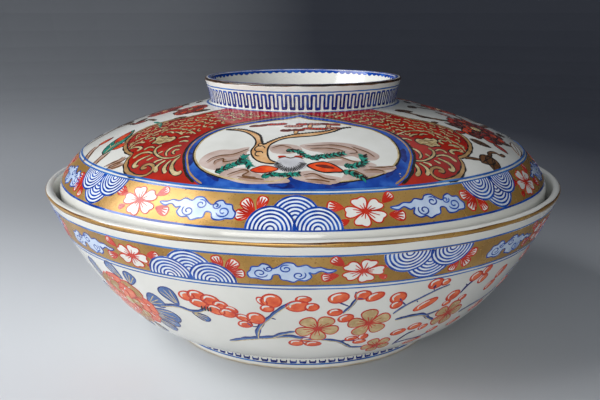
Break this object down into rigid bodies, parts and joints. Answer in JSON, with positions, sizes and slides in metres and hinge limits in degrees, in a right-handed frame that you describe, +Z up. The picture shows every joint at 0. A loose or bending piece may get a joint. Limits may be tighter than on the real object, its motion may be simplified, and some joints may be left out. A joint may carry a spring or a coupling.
{
  "type": "lidded rice bowl",
  "caption": "Wide round porcelain bowl on a low foot ring, with a domed lid that drops inside the rim and lifts by a hollow ring grip.",
  "frame": {"origin": "on the table at the bowl's axis, at the foot ring's bottom edge", "axes": "+Z is up, along the axis that the bowl and lid are turned about; -Y is the front"},
  "size_m": [0.242, 0.242, 0.1214],
  "materials": {
    "porcelain": "gloss glaze",
    "underglaze_blue": "gloss glaze",
    "enamel_colours": "gloss enamel",
    "gilding": "satin gold over glaze"
  },
  "bodies": {
    "bowl": {"bowl_shell": "porcelain", "foot_ring": "porcelain"},
    "lid": {"lid_dome": "porcelain", "grip_ring": "porcelain"}
  },
  "joints": [
    {"name": "lid_lift", "type": "slide", "parent": "bowl", "child": "lid", "axis": [0, 0, 1], "range_m": [0, 0.12]}
  ]
}
